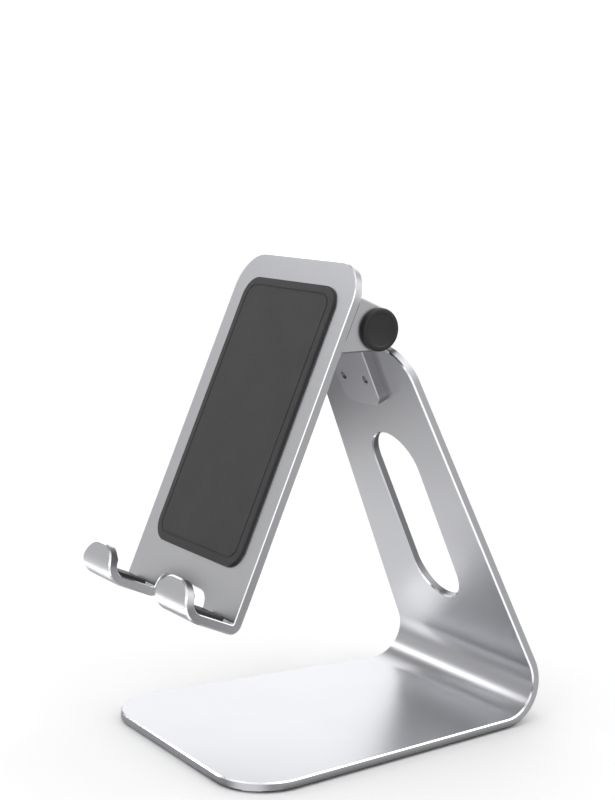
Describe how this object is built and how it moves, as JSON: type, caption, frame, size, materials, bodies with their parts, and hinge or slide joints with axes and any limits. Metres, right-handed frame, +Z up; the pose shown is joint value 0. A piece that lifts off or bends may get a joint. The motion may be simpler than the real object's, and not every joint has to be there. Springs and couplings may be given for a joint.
{
  "type": "tablet stand",
  "caption": "Adjustable desk stand: a bent aluminium plate is base and leaning riser, and a friction hinge holds a tilting panel with two hooks for a tablet.",
  "frame": {"origin": "on the table, at the middle of the stand's outline seen from above, holder at rest", "axes": "+Z up, -Y towards the user, +X to the user's right, along the hinge"},
  "size_m": [0.1368, 0.1894, 0.2234],
  "materials": {
    "satin_aluminium": "fine bead-blasted, clear anodised, with bright cut chamfers",
    "hinge_aluminium": "bead-blasted, clear anodised",
    "silicone": "matte silicone rubber",
    "black_plastic": "fine spark-eroded texture",
    "bush_polymer": "natural acetal",
    "fastener_steel": "plain stainless steel"
  },
  "bodies": {
    "stand": {"base_frame": "satin_aluminium", "foot_pad_front_left": "silicone", "foot_pad_front_right": "silicone", "foot_pad_rear_left": "silicone", "foot_pad_rear_right": "silicone", "riser_hinge_knuckle": "hinge_aluminium", "riser_bracket_screws": "fastener_steel", "knuckle_bush_left": "bush_polymer", "knuckle_bush_right": "bush_polymer"},
    "holder": {"holder_plate": "satin_aluminium", "back_pad": "silicone", "hook_pad_left": "silicone", "hook_pad_right": "silicone", "holder_hinge_bracket": "hinge_aluminium", "holder_bracket_screws": "fastener_steel", "hinge_bolt": "fastener_steel", "disc_springs": "fastener_steel", "hinge_washer": "fastener_steel", "hinge_nut": "fastener_steel", "friction_washer_left": "fastener_steel", "friction_washer_right": "fastener_steel", "hinge_cap_left": "black_plastic", "hinge_cap_right": "black_plastic"}
  },
  "joints": [
    {"name": "holder_tilt", "type": "hinge", "parent": "stand", "child": "holder", "pos_m": [0, 0.01819, 0.19168], "axis": [1, 0, 0], "range_deg": [-56, 34]}
  ]
}
